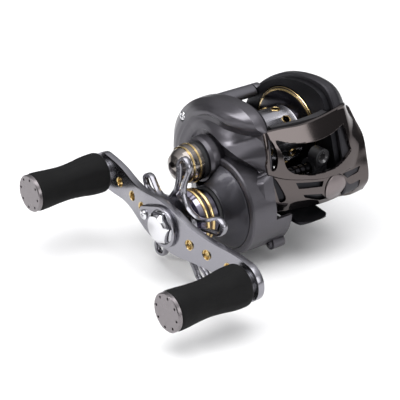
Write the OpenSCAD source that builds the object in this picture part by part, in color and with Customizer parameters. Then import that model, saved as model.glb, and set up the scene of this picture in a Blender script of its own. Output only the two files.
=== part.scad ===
// Low-profile baitcasting reel, right-hand wind.
// +X points to the handle side, +Y to the front where the line leaves, +Z up.
// The origin is the centre of the underside of the foot.

/* [Spool] */
// Diameter of the spool flanges
flange_d = 35.8; // [34:0.2:35.8]
// Diameter of the drum that the line is wound on
drum_d = 22; // [20:0.5:23]
// Half of the width between the flanges
flange_x = 12.2; // [11.6:0.1:12.2]
// Diameter of the spool shaft
spool_shaft_d = 3.1; // [2.8:0.1:3.1]
// Height of the spool axis above the rod
spool_z = 22.4; // [22.4:0.1:24]

/* [Gears] */
// Gear module
gear_m = 0.5; // [0.5:0.01:0.5]
// Teeth of the drive gear
drive_teeth = 65; // [65:1:65]
// Teeth of the pinion
pinion_teeth = 11; // [11:1:11]
// Teeth of the level-wind gear on the drive shaft
idler_teeth = 42; // [42:1:42]
// Teeth of the gear on the worm shaft
worm_gear_teeth = 18; // [18:1:18]

/* [Handle] */
// Distance between the two knob axes
knob_span = 85.6; // [80:0.2:90]
// Slope of the handle arm at rest
handle_tilt = 7.8; // [0:0.1:12]
// Width of the arm at its middle
arm_mid_w = 17.6; // [16:0.2:18]
// Width of the arm at its waists
arm_waist_w = 11.8; // [11:0.2:13]
// Width of the arm at the knobs
arm_end_w = 14.2; // [13:0.2:15]
// Thickness of the arm
arm_t = 2.4; // [2:0.1:2.6]
// Diameter of the grips at their thick ends
grip_d = 15.6; // [14:0.2:16]
// Diameter of the grips at their waist
grip_waist_d = 13.2; // [12:0.2:14]
// Distance from the main shaft to the star's tips
star_tip_r = 25.6; // [24:0.2:26]

/* [Foot] */
// Length of the foot
foot_l = 62.2; // [60:0.2:64]
// Width of the foot
foot_w = 13.8; // [13:0.2:14]
// Thickness of the foot
foot_t = 2.4; // [2.2:0.1:2.4]
// Radius of the rod seat that the foot's underside is hollowed to fit
rod_r = 19; // [18:0.5:20]

/* [Hidden] */
$fn = 48;
spool_y = -2;
// Main shaft and worm shaft, as seen from the spool axis
main_dy = 9.81;
main_dz = -16.3;
worm_dist = gear_m * (idler_teeth + worm_gear_teeth) / 2;
worm_angle = 44;
worm_dy = main_dy + worm_dist * cos(worm_angle);
worm_dz = main_dz + worm_dist * sin(worm_angle);
rail_dy = 21.6;
rail_dz = -12;
// Pivot of the ratchet pawl and place of the yoke posts
pawl_at = [-3.2, -11.2];
post_y = 6.5;
post_z = 4;
// Side screw and lug screw
side_screw = [-19.6, 9.2];
lug_at = [22.6, -30.6];
flange_r = flange_d / 2;
drum_r = drum_d / 2;
spool_shaft_r = spool_shaft_d / 2;
knob_s = knob_span / 2;
// Outer face of the arm at the hub and at the knobs
arm_hub_x = 54;
arm_end_x = 50.6;
guide_x = -8.5;
lobe_mid = [-2, 2];
case_r = 19;
wall = 1.5;
hub_r = 5.6;

// ---- Outlines and helpers ----

// Smooth closed loop through hand-set points
function blend4(a, b, c, d, t) =
    0.5 * (2 * b + (c - a) * t + (2 * a - 5 * b + 4 * c - d) * t * t + (3 * b - a - 3 * c + d) * t * t * t);
function smooth_loop(p, n) = [
    for (i = [0 : len(p) - 1])
        for (k = [0 : n - 1])
            blend4(p[(i - 1 + len(p)) % len(p)], p[i], p[(i + 1) % len(p)], p[(i + 2) % len(p)], k / n)
];
function shrink(p, c, k) = [for (q = p) c + (q - c) * k];

// Side outlines, as [y, z] from the spool axis, looking from the handle side
gear_outline = smooth_loop([[-28.5, -6], [-27.8, 2], [-23.5, 10], [-16, 16.6], [-7, 20.8], [3, 22.6],
    [13, 22.2], [20.5, 18.5], [24, 10], [26, 0], [28, -9], [28.5, -16], [20, -22], [5, -24],
    [-10, -21], [-21, -17], [-27, -12.5]], 4);
palm_outline = smooth_loop([[-28.5, -6], [-27.8, 2], [-23.5, 10], [-16, 16.6], [-7, 21.6], [3, 24.2],
    [12, 24.6], [19.5, 22.5], [23.5, 17], [26.5, 9], [30, -2.5], [31.5, -11], [29.5, -17],
    [20, -18.5], [0, -19], [-15, -18.5], [-25, -14.5]], 4);
frame_outline = smooth_loop([[-26.3, -6], [-25.6, 2], [-21.6, 8.6], [-16.5, 13], [-6.5, 19], [3, 20.9],
    [12.5, 20.3], [18.6, 16.6], [20.5, 9], [22.6, 0], [24, -8], [23.4, -13.5], [19.5, -17.4],
    [10, -19.8], [-10, -19.8], [-20, -16], [-24.9, -11.5]], 4);

module at_spool() translate([0, spool_y, spool_z]) children();
module at_main() translate([0, spool_y + main_dy, spool_z + main_dz]) children();
module at_worm() translate([0, spool_y + worm_dy, spool_z + worm_dz]) children();
module at_rail() translate([0, spool_y + rail_dy, spool_z + rail_dz]) children();
// The handle's own frame: local Y runs along the arm towards the front knob
module at_handle() at_main() rotate([-handle_tilt, 0, 0]) children();

// Round solids along X
module rod_x(x0, x1, r) translate([x0, 0, 0]) rotate([0, 90, 0]) cylinder(h = x1 - x0, r = r);
module ring_x(x0, x1, ro, ri) difference() {
    rod_x(x0, x1, ro);
    rod_x(x0 - 1, x1 + 1, ri);
}
// Turned solid: points are [x, radius]
module turned_x(p) rotate([0, 90, 0]) rotate_extrude() polygon([for (q = p) [q[1], q[0]]]);
// Slab across X of a [y, z] outline
module slab_x(x0, x1) translate([x0, 0, 0]) rotate([90, 0, 90]) linear_extrude(x1 - x0) children();
// Slab that tapers towards x1, round the middle of the side outline
module taper_x(x0, x1, k) translate([x0, lobe_mid[0], lobe_mid[1]]) rotate([90, 0, 90])
    linear_extrude(abs(x1 - x0), scale = k) translate(-lobe_mid) children();
module box(lo, hi) translate(lo) cube(hi - lo);
// Pan-head screw with a cross recess, head at the +X end
module screw_x(x0, x1, shank_r, head_r) difference() {
    union() {
        rod_x(x0, x1, shank_r);
        rod_x(x1, x1 + head_r * 0.55, head_r);
    }
    for (a = [0, 90]) rotate([a, 0, 0])
        box([x1 + head_r * 0.25, -head_r * 0.6, -0.18], [x1 + head_r, head_r * 0.6, 0.18]);
}

// Involute tooth outline of a spur gear, centred on the +Y side, with backlash
pressure = 25;
slack = 0.17;
function inv(a) = tan(a) * 180 / PI - a;
function flank_angle(r, z) =
    let (rp = gear_m * z / 2, rb = rp * cos(pressure), a = acos(min(1, rb / r)))
    (PI * gear_m / 2 - slack) / (2 * rp) * 180 / PI + inv(pressure) - inv(a);
function tooth(z, tip, root, n) =
    let (rp = gear_m * z / 2, rb = rp * cos(pressure), r0 = max(root, rb))
    concat([[root, -flank_angle(r0, z)]],
        [for (k = [0 : n]) let (r = r0 + (tip - r0) * k / n) [r, -flank_angle(r, z)]],
        [for (k = [n : -1 : 0]) let (r = r0 + (tip - r0) * k / n) [r, flank_angle(r, z)]],
        [[root, flank_angle(r0, z)]]);
function gear_points(z, phase) =
    let (rp = gear_m * z / 2, tip = rp + 0.85 * gear_m, root = rp - 1.1 * gear_m)
    [for (i = [0 : z - 1]) for (q = tooth(z, tip, root, 3))
        let (a = q[1] + 360 * i / z + phase) q[0] * [cos(a), sin(a)]];
module spur_gear(x0, x1, z, phase) slab_x(x0, x1) polygon(gear_points(z, phase));

// Front surface of the cover: y at (x, z) from the spool axis
cover_apex = [[-17.6, 30], [-12, 32.6], [-5, 32], [3, 30.2], [9, 28.2], [16.5, 25]];
cover_round = [[-17.6, 80], [-12, 90], [-5, 110], [3, 150], [16.5, 200]];
cover_x0 = -19.5;
cover_x1 = 16.4;
cover_z0 = -17.6;
cover_z1 = 16.5;
cover_t = 1.4;
function cover_y(x, z) = lookup(z, cover_apex) - (x + 8) * (x + 8) / lookup(z, cover_round);

// ---- Frame and casings ----

foot_screw_y = [-14, -2, 10];

module frame() color("dimgray") at_spool() difference() {
    union() {
        // handle-side wall, with the floor of the gear case below it
        slab_x(13.9, 16.3) polygon(frame_outline);
        intersection() {
            translate([0, main_dy, main_dz]) rod_x(13.9, 16.3, 17.2);
            box([13, -30, -40], [17, 40, -17.9]);
        }
        // lip round the handle-side flange
        ring_x(12.4, 13.9, 19.6, 18.5);
        // palm-side ring that the spool is drawn out through
        slab_x(-15, -12.6) polygon(shrink(palm_outline, lobe_mid, 0.92));
        // cross bars
        box([-12.7, -25.6, -6], [14, -23.4, 3.7]);
        box([-12.7, -20, -19.7], [8.6, 20, -18.4]);
        box([-12.7, 17.5, -18.4], [14, 21.2, -15.2]);
        box([8.5, -18, -19.7], [14, 17, -18.4]);
    }
    rod_x(-16, -12, 18.5);
    rod_x(13, 17, 5.05);
    translate([0, main_dy, main_dz]) rod_x(13.88, 17, 4.05);
    translate([0, worm_dy, worm_dz]) rod_x(-16, -12, 2.05);
    translate([0, worm_dy, worm_dz]) rod_x(13.88, 17, 2.05);
    translate([0, rail_dy, rail_dz]) rod_x(-16, 17, 0.95);
    // yoke post holes, pawl pin hole and foot screw holes
    for (y = [-post_y, post_y]) translate([0, y, post_z]) rod_x(13.88, 17, 0.92);
    translate([0, pawl_at[0], pawl_at[1]]) rod_x(13.88, 17, 0.82);
    for (y = foot_screw_y) translate([0, y - spool_y, -20]) cylinder(h = 3, r = 1.02);
    // slot that the clutch cam slides in
    box([12, -21.6, 1.5], [17, -16.9, 12.6]);
}

bridge_x = [for (i = [0 : 10]) -12.5 + 2.62 * i];
module top_bridge() color("#4a494d") at_spool() translate([0, 0, 13.6]) linear_extrude(2)
    polygon(concat([for (x = bridge_x) [x, 19.4 + 1.6 * cos(x * 7)]],
        [for (i = [10 : -1 : 0]) [bridge_x[i], cover_y(bridge_x[i], 13.6) - 2 * cover_t]]));

module reel_foot() color("#1d1d20") difference() {
    union() {
        // seat under the frame
        box([-foot_w / 2, -20, 0], [foot_w / 2, 18, foot_t]);
        // rounded tongues to the front and rear
        for (s = [-1, 1]) hull() {
            box([-foot_w / 2, min(s * 17, s * 18), 0], [foot_w / 2, max(s * 17, s * 18), foot_t]);
            translate([0, s * (foot_l / 2 - 4), 0]) scale([foot_w / 8, 1, 1])
                cylinder(h = 1.2, r = 4, $fn = 32);
        }
    }
    // hollow that sits on the rod
    translate([0, -foot_l, -rod_r + 1.1]) rotate([-90, 0, 0]) cylinder(h = 2 * foot_l, r = rod_r, $fn = 120);
    for (y = foot_screw_y) translate([0, y, -1]) {
        cylinder(h = 9, r = 1.02);
        cylinder(h = 2.5, r = 1.9);
    }
}

module foot_screws() color("silver") for (y = foot_screw_y) translate([0, y, 0.95]) difference() {
    union() {
        cylinder(h = 2.4, r = 0.95);
        cylinder(h = 0.5, r = 1.8);
    }
    for (a = [0, 90]) rotate([0, 0, a]) box([-1.1, -0.15, -1], [1.1, 0.15, 0.3]);
}

module side_skirt() intersection() {
    translate([0, main_dy, main_dz]) difference() {
        rod_x(9, 17, case_r);
        rod_x(10.4, 18, case_r - wall);
    }
    union() {
        box([8, -30, -40], [18, 40, -19.9]);
        box([8, 21.6, -40], [18, 40, -17.8]);
    }
}

module gear_side_plate() color("#6f6d73") at_spool() difference() {
    union() {
        slab_x(16.5, 21) polygon(gear_outline);
        taper_x(21, 26.4, 0.76) polygon(gear_outline);
        translate([0, main_dy, main_dz]) turned_x([[16.5, 0], [16.5, case_r], [26.4, case_r],
            [27.6, case_r - 1], [27.6, 0]]);
        side_skirt();
        translate([0, lug_at[0], lug_at[1]]) rod_x(9, 14.4, 2.6);
    }
    slab_x(16, 20.6) polygon(shrink(gear_outline, lobe_mid, 0.945));
    difference() {
        taper_x(20.5, 24.9, 0.76) polygon(shrink(gear_outline, lobe_mid, 0.945));
        // boss of the side screw
        translate([0, side_screw[0], side_screw[1]]) rod_x(18, 25, 2.4);
    }
    translate([0, main_dy, main_dz]) rod_x(16, 26.1, case_r - wall);
    translate([0, main_dy, main_dz]) rod_x(16, 28, 16.7);
    // neck of the cast-control collar
    rod_x(20, 28, 8.1);
    rod_x(24.7, 30, 9.1);
    translate([0, side_screw[0], side_screw[1]]) rod_x(16, 23, 1.02);
    translate([0, side_screw[0], side_screw[1]]) rod_x(22.4, 30, 2);
    translate([0, lug_at[0], lug_at[1]]) {
        rod_x(11, 15, 0.92);
        rod_x(14.4, 16.2, 1.8);
    }
}

module gear_dome() color("#57565b") at_main() difference() {
    turned_x([[24.4, 15.2], [24.4, 16.65], [27.7, 16.65], [29.2, 15.2], [33.4, 10.6], [34, 9.8],
        [34, 7.05], [27, 7.05], [27, 8.6], [31.6, 9.4], [27.6, 14.6], [24.4, 15.2]]);
    // flat where the collar of the cast control passes
    translate([0, -main_dy, -main_dz]) rod_x(23, 36, 9.4);
}

module palm_side_plate() color("#55545a") at_spool() difference() {
    union() {
        slab_x(-21, -15.2) polygon(palm_outline);
        mirror([1, 0, 0]) taper_x(21, 26.6, 0.82) polygon(palm_outline);
    }
    difference() {
        union() {
            slab_x(-20.6, -14) polygon(shrink(palm_outline, lobe_mid, 0.95));
            mirror([1, 0, 0]) taper_x(20.5, 25, 0.84) polygon(shrink(palm_outline, lobe_mid, 0.95));
        }
        // hub of the palm bearing, which the magnet holder slides on
        rod_x(-26, -21.3, hub_r);
    }
    rod_x(-24.6, -20, 4.05);
    rod_x(-28, -24, 1.66);
    box([-19.8, 21.5, -20], [-14, 40, 30]);
}

module cover_skin(n) {
    xs = [for (i = [0 : n]) cover_x0 + (cover_x1 - cover_x0) * i / n];
    zs = [for (i = [0 : n]) cover_z0 + (cover_z1 - cover_z0) * i / n];
    m = n + 1;
    outer = [for (z = zs) for (x = xs) [x, cover_y(x, z), z]];
    inner = [for (z = zs) for (x = xs) [x, cover_y(x, z) - cover_t, z]];
    k = m * m;
    sheet = [for (j = [0 : n - 1]) for (i = [0 : n - 1])
        [j * m + i, (j + 1) * m + i, (j + 1) * m + i + 1, j * m + i + 1]];
    back = [for (f = sheet) [f[3] + k, f[2] + k, f[1] + k, f[0] + k]];
    low = [for (i = [0 : n - 1]) [i, i + 1, i + 1 + k, i + k]];
    high = [for (i = [0 : n - 1]) let (a = n * m + i) [a + 1, a, a + k, a + 1 + k]];
    side0 = [for (j = [0 : n - 1]) let (a = j * m) [a + m, a, a + k, a + m + k]];
    side1 = [for (j = [0 : n - 1]) let (a = j * m + n) [a, a + m, a + m + k, a + k]];
    polyhedron(concat(outer, inner), concat(sheet, back, low, high, side0, side1), convexity = 6);
}

// Opening through the cover, as [x, z] points
module cover_cut(p) translate([0, 40, 0]) rotate([90, 0, 0]) linear_extrude(30) polygon(p);

module front_cover() color("#6a6464") at_spool() difference() {
    cover_skin(12);
    cover_cut(smooth_loop([[14.2, 10.6], [4.8, 8.8], [-5, 7.8], [-12.4, 8.6], [-17.4, 10.8], [-17.8, -1.4],
        [-8.8, -3.8], [1.1, -3.4], [9.6, -0.3], [13.6, 4.6]], 3));
    cover_cut([[14.6, -2.4], [12.2, -3], [11.4, -11.4], [14.2, -12]]);
    cover_cut([[5.2, -6.4], [-5.6, -8], [-6.4, -9.6], [4, -8.8]]);
    cover_cut([[4.6, -11.2], [-6, -13.6], [-7.4, -15.4], [0, -14.4]]);
    cover_cut([[-16.4, -9.6], [-18.4, -5.6], [-18.4, -7.6], [-17, -10.6]]);
    cover_cut([[-16.6, -13.6], [-18.6, -11.6], [-18.6, -13.6], [-17.2, -14.6]]);
    // seat of the badge disc
    translate([-11.2, 31.4, -11.4]) rotate([-90, 0, 0]) cylinder(h = 6, r = 4.6);
}

module badge_disc() color("#8b8586") at_spool() translate([-11.2, 31.45, -11.4]) rotate([-90, 0, 0]) {
    cylinder(h = 1.1, r = 4.5);
    translate([0, 0, 1.1]) cylinder(h = 0.4, r1 = 4.5, r2 = 4.1);
}

module case_screws() color("#c9c9cf") at_spool() {
    translate([0, side_screw[0], side_screw[1]]) screw_x(18.2, 22.5, 0.96, 1.9);
    translate([0, lug_at[0], lug_at[1]]) screw_x(11.2, 14.5, 0.86, 1.7);
}

// ---- Thumb bar and clutch ----

thumb_travel = 3.5;
yoke_travel = 1.6;
module thumb_bar() color("#77767b") at_spool() {
    slab_x(-12.3, 13.6) polygon([[-23.6, 7.6], [-24, 11.2], [-22.5, 13.2], [-19.6, 13.2], [-17.3, 11.4],
        [-17.3, 9.6], [-21, 7.6]]);
    // cam plate through the wall
    slab_x(13.5, 17.2) polygon([[-20.6, 7.8], [-20.6, 9.4], [-18.4, 10.8], [-17.8, 10.8],
        [-17.8, 6.4], [-19, 6.4]]);
    slab_x(16.4, 17.2) polygon([[-18.6, 6.4], [-18.2, 9.4], [-10, 9.4], [-10, 8.6], [-15, 8.2]]);
    // ramp that lifts the yoke as the bar goes down
    translate([0, -10, 0]) rotate([90, 0, 0]) linear_extrude(3.6) polygon([[16.4, 5], [16.5, 5],
        [16.5 + yoke_travel, 5 + thumb_travel], [16.5 + yoke_travel, 9.4], [16.4, 9.4]]);
}

module clutch_yoke() color("#b9b7ae") at_spool() difference() {
    union() {
        slab_x(16.86, 17.54) polygon([[-8.2, 6], [-6.5, 6.2], [0, 4.8], [6.5, 6.2], [8.2, 6], [8.2, 2],
            [6.5, 1.8], [5, 1.2], [5, -1.2], [-5, -1.2], [-5, 1.2], [-6.5, 1.8], [-8.2, 2]]);
        // tail that the ramp pushes
        slab_x(16.86, 17.54) polygon([[-13.4, 3.2], [-13.4, 4.8], [-8, 4.8], [-8, 3.2]]);
    }
    rod_x(16, 18, 2.48);
    box([16, -2.48, -4], [18, 2.48, 0]);
    for (y = [-post_y, post_y]) translate([0, y, post_z]) rod_x(16, 18, 0.98);
}

module yoke_posts() color("silver") at_spool() for (y = [-post_y, post_y]) translate([0, y, post_z]) {
    rod_x(14, 22.8, 0.9);
    rod_x(22.8, 23.3, 1.7);
}

// Return springs, as a stack of wire rings
module yoke_springs() color("#a8a8a8") at_spool() for (y = [-post_y, post_y]) translate([0, y, post_z])
    for (k = [0 : 4]) translate([18.2 + k * 1.05, 0, 0]) rotate([0, 90, 0])
        rotate_extrude() translate([1.4, 0]) circle(r = 0.2, $fn = 16);

module pinion_gear() color("#d8b46a") at_spool() difference() {
    union() {
        rod_x(14.2, 16.85, 2.4);
        rod_x(16.4, 16.8, 3.2);
        rod_x(16.8, 17.6, 2.4);
        rod_x(17.6, 18, 3.2);
        spur_gear(18, 24.9, pinion_teeth, mesh_angle + 180 + 180 / pinion_teeth);
        rod_x(24.8, 29.6, 2.1);
    }
    rod_x(13, 31, spool_shaft_r + 0.08);
    // slot that takes the spool's cross pin
    box([13, -3, -0.62], [15.3, 3, 0.62]);
}

module gear_bearings() color("#c4c4c8") {
    at_spool() ring_x(13.95, 16.25, 5, 2.46);
    at_spool() ring_x(26.6, 29.2, 5.2, 2.16);
    at_main() ring_x(13.95, 16.25, 4, 2.04);
}

// ---- Spool ----

// Round wire at the rim of one flange, on side s
module rim_wire(s, r) rotate([0, 90, 0]) rotate_extrude()
    translate([flange_r - 0.45, s * flange_x]) circle(r = r, $fn = 20);

module spool() color("#26252a") at_spool() difference() {
    turned_x([[-flange_x - 1.2, 0], [-flange_x - 1.2, flange_r], [-flange_x, flange_r],
        [-flange_x + 1.4, drum_r], [flange_x - 1.4, drum_r], [flange_x, flange_r],
        [flange_x + 1.2, flange_r], [flange_x + 1.2, 0]]);
    // hollow on both sides of the web
    rod_x(-flange_x - 2, -2, drum_r - 1.2);
    rod_x(1.4, flange_x + 2, drum_r - 1.2);
    rod_x(-20, 20, spool_shaft_r);
    // holes through the drum
    for (a = [0 : 36 : 324]) for (x = [-6.4, 5.6]) rotate([a + (x > 0 ? 18 : 0), 0, 0])
        translate([x, 0, 0]) cylinder(h = 30, r = 1.5);
    // seats of the gold rim rings
    for (s = [-1, 1]) rim_wire(s, 0.4);
}

module spool_rim_rings() color("#d9b877") at_spool() for (s = [-1, 1]) intersection() {
    rim_wire(s, 0.39);
    rod_x(-20, 20, flange_r + 0.3);
}

module spool_shaft() color("#d0d0d4") at_spool() {
    rod_x(-24.2, 35.2, spool_shaft_r - 0.01);
    // cross pin that the pinion drives
    translate([14.7, 0, 0]) rotate([90, 0, 0]) cylinder(h = 4.2, r = 0.5, center = true);
}

module brake_rotor() color("#b9bac0") at_spool() difference() {
    union() {
        rod_x(-16.4, -15.6, 9.2);
        rod_x(-15.7, -2.05, 3.2);
    }
    rod_x(-17, -1, spool_shaft_r);
}

module palm_bearing() color("#c4c4c8") at_spool() ring_x(-24.5, -21.6, 4, spool_shaft_r + 0.04);
module cap_bearing() color("#c4c4c8") at_spool() ring_x(31.8, 34, 4, spool_shaft_r + 0.04);
module worm_bushes() color("#2c2c2f") at_worm() {
    ring_x(-15, -12.7, 2, 1.24);
    ring_x(13.9, 16.2, 2, 1.24);
}

// ---- Cast control ----

module cap_collar() color("#807e84") at_spool() difference() {
    turned_x([[24, 0], [24, 8], [24.8, 8], [27, 9], [29.6, 8.8], [31, 8.2], [31, 5.6], [36, 5.6], [36, 0]]);
    rod_x(22, 26.4, 6.9);
    rod_x(26, 29.3, 5.25);
    rod_x(29, 31.7, 3.2);
    rod_x(31.6, 37, 4.05);
}

module cap_o_ring() color("#141416") at_spool() ring_x(31.1, 32.9, 7.2, 5.66);

module cast_control_cap() color("#5b5756") at_spool() difference() {
    turned_x([[33.2, 5.72], [33.2, 7.4], [36.4, 7.4], [37, 6.9], [38.4, 6.5], [39.6, 6.1],
        [41.6, 4.6], [42.7, 2.4], [43, 0], [37.2, 0], [37.2, 5.72]]);
    // gold ring seats
    for (x = [35, 37.6]) ring_x(x - 0.45, x + 0.45, 8, x < 36 ? 7.1 : 6.3);
}

module cap_ring() color("#d9b877") at_spool() {
    ring_x(34.6, 35.4, 7.6, 7.14);
    ring_x(37.2, 38, 7, 6.34);
}

module tension_shim() color("#c9a24b") at_spool() rod_x(36.4, 37.1, 3);

// ---- Magnetic brake ----

module brake_dial() color("#3a3a3e") at_spool() {
    turned_x([[-26.7, 0], [-26.7, 8.2], [-28.2, 7.8], [-28.6, 7], [-28.6, 0]]);
    rod_x(-26.8, -25.1, 1.6);
    // finger ribs
    for (a = [0 : 30 : 330]) rotate([a, 0, 0]) translate([0, 8, 0]) rod_x(-28, -26.8, 0.5);
}

module magnet_holder() color("#2a2a2c") at_spool() ring_x(-21.1, -20.3, 9.2, hub_r + 0.12);

module brake_magnets() color("#9fa1a6") at_spool() for (a = [0 : 45 : 315]) rotate([a, 0, 0])
    translate([-20.3, 0, 7.5]) rotate([0, 90, 0]) cylinder(h = 1.6, r = 1.25);

// ---- Drive train ----

// Angle from the main shaft up to the spool axis, where the two gears mesh
mesh_angle = atan2(-main_dz, -main_dy);

module drive_shaft() color("#cfcfd3") at_main() turned_x([[14, 0], [14, 2], [16.5, 2], [16.5, 2.95],
    [43.6, 2.95], [43.6, 2.4], [57, 2.4], [57.4, 2], [57.4, 0]]);

module drive_gear() color("#d8b46a") at_main() difference() {
    spur_gear(19.8, 23.4, drive_teeth, mesh_angle);
    rod_x(19, 24, 3);
    // cup of the drag stack
    rod_x(20.9, 24, 12.5);
}

module drag_washers() color("#3b3a38") at_main() {
    for (k = [0 : 2]) ring_x(20.95 + k * 1.2, 21.5 + k * 1.2, 12.2, 3);
    for (k = [0 : 1]) ring_x(21.55 + k * 1.2, 22.1 + k * 1.2, 11.8, 3);
}

module one_way_bearing() color("#b9bac0") at_main() ring_x(27.2, 33.4, 7, 4.72);
module clutch_sleeve() color("#a9aab0") at_main() {
    ring_x(24.6, 35.4, 4.66, 3);
    ring_x(24.1, 24.6, 9, 3);
}
module dome_seal() color("#161618") at_main() ring_x(34.05, 35.4, 9.4, 4.8);

ratchet_lobes = 12;
module ratchet_wheel() color("#b9bac0") at_main() difference() {
    slab_x(18.5, 19.4) polygon([for (i = [0 : ratchet_lobes - 1])
        for (q = [[7.4, 0], [8.5, 3], [8.3, 12], [7.4, 22]])
            let (a = q[1] + 360 / ratchet_lobes * i) q[0] * [cos(a), sin(a)]]);
    rod_x(18, 20, 3);
}

module ratchet_pawl() color("#d8b46a") at_spool() translate([0, pawl_at[0], pawl_at[1]]) {
    rod_x(14, 19.5, 0.8);
    slab_x(18.5, 19.4) polygon([[-1.8, 0], [0, 1.8], [2, 1.4], [5.2, 0.2], [5, -0.9], [0, -1.8]]);
}

module level_wind_gear() color("#e8e6e0") at_main() difference() {
    spur_gear(16.8, 18.2, idler_teeth, worm_angle);
    rod_x(16, 19, 3);
}

// ---- Drag star and handle ----

module drag_sleeve() color("#9b97a6") at_main() turned_x([[36, 3.1], [36, 9.2], [38.2, 9.7],
    [39.4, 9.7], [41.2, 10.4], [42.6, 10.4], [44, 9.4], [45.2, 6.2], [45.2, 3.1]]);

module sleeve_rings() color("#d9b877") at_main() {
    ring_x(38.4, 39.2, 10.15, 9.72);
    ring_x(41.4, 42.2, 10.85, 10.42);
}

// One arm of the star: an open loop that leans back towards the side plate
module star_arm() difference() {
    hull() {
        translate([46.2, 0, 5]) rotate([0, 90, 0]) cylinder(h = 2.4, r = 2.2, $fn = 32);
        translate([44.4, 0, star_tip_r - 3]) rotate([0, 90, 0]) cylinder(h = 2.2, r = 3, $fn = 32);
    }
    translate([40, 0, star_tip_r - 3]) rotate([0, 90, 0]) cylinder(h = 10, r = 1.7);
}

module star_wheel() color("#b4b4ba") at_main() difference() {
    union() {
        rod_x(45.4, 48.6, 6.6);
        for (k = [0 : 4]) rotate([15.1 + 72 * k - 90, 0, 0]) star_arm();
    }
    // hexagonal seat of the drag nut
    translate([45, 0, 0]) rotate([0, 90, 0]) cylinder(h = 5, r = 4.56, $fn = 6);
}

module drag_nut() color("#d8b46a") at_main() difference() {
    translate([45.7, 0, 0]) rotate([0, 90, 0]) cylinder(h = 2.6, r = 4.5, $fn = 6);
    rod_x(45, 49, 2.44);
}

// Half width of the arm at distance s from its middle
arm_widths = [[0, arm_mid_w / 2], [8, arm_mid_w / 2 - 0.6], [20, arm_waist_w / 2], [26, arm_waist_w / 2],
    [36, arm_end_w / 2 - 0.3], [43, arm_end_w / 2]];
arm_half = [for (s = [0 : 4 : 40]) [s, lookup(s, arm_widths)]];
function arm_outline() = concat(
    [for (q = arm_half) [q[0], q[1]]],
    [for (a = [80 : -20 : -80]) [knob_s + arm_end_w / 2 * cos(a), arm_end_w / 2 * sin(a)]],
    [for (i = [len(arm_half) - 1 : -1 : 0]) [arm_half[i][0], -arm_half[i][1]]],
    [for (i = [1 : len(arm_half) - 1]) [-arm_half[i][0], -arm_half[i][1]]],
    [for (a = [-100 : -20 : -260]) [-knob_s + arm_end_w / 2 * cos(a), arm_end_w / 2 * sin(a)]],
    [for (i = [len(arm_half) - 1 : -1 : 1]) [-arm_half[i][0], arm_half[i][1]]]);
hole_s = [-33, -22.5, -14.4, 14.4, 22.5, 33];
// Side view of the cranked arm, as [along the arm, x]
crank = [[-52, 0], [-32, 0], [-11, arm_hub_x - arm_end_x], [11, arm_hub_x - arm_end_x], [32, 0], [52, 0]];

module handle_arm() color("#a8a7ad") at_handle() difference() {
    intersection() {
        slab_x(40, 60) polygon(arm_outline());
        translate([arm_end_x, 0, -15]) linear_extrude(30) polygon(concat(
            [for (q = crank) [q[1], q[0]]],
            [for (i = [len(crank) - 1 : -1 : 0]) [crank[i][1] - arm_t, crank[i][0]]]));
    }
    rod_x(40, 60, 2.44);
    for (s = hole_s) translate([0, s, 0]) rod_x(40, 60, 1.62);
    for (s = [-1, 1]) translate([0, s * knob_s, 0]) rod_x(40, 60, 1.5);
    translate([0, -9.6, 0]) rod_x(40, 60, 0.82);
}

// Gold liners in the lightening holes
function arm_x(s) = arm_end_x + lookup(s, crank);
module hole_rings() color("#d9b877") at_handle() for (s = hole_s) translate([0, s, 0])
    ring_x(arm_x(s) - arm_t - 0.1, arm_x(s) + 0.15, 1.6, 1.15);

module handle_nut() color("#dcdce0") at_handle() difference() {
    union() {
        translate([arm_hub_x + 0.9, 0, 0]) rotate([0, 90, 0]) cylinder(h = 2.2, r = 5.6, $fn = 6);
        turned_x([[arm_hub_x + 0.05, 0], [arm_hub_x + 0.05, 6.2], [arm_hub_x + 0.9, 5.8],
            [arm_hub_x + 0.9, 0]]);
        turned_x([[arm_hub_x + 3, 0], [arm_hub_x + 3, 4.7], [arm_hub_x + 3.7, 4], [arm_hub_x + 4, 0]]);
    }
    rod_x(50, 57.5, 2.42);
}

module nut_retainer() color("#8f8e95") at_handle() difference() {
    hull() {
        rod_x(arm_hub_x + 0.95, arm_hub_x + 2.2, 7.4);
        translate([0, -10.4, 0]) rod_x(arm_hub_x + 0.95, arm_hub_x + 2.2, 3);
    }
    rod_x(50, 62, 6.25);
    translate([0, -9.6, 0]) rod_x(50, 62, 0.82);
}

module retainer_screw() color("#e2dccb") at_handle() translate([0, -9.6, 0])
    screw_x(arm_hub_x - 2, arm_hub_x + 2.25, 0.78, 1.8);

module knob_posts() color("#cfcfd3") at_handle() for (s = [-1, 1]) translate([0, s * knob_s, 0]) {
    rod_x(arm_end_x - arm_t - 0.6, arm_end_x - arm_t, 3);
    rod_x(arm_end_x - arm_t, 83.4, 1.48);
    rod_x(arm_end_x + 0.05, arm_end_x + 1.9, 4.6);
}

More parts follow.
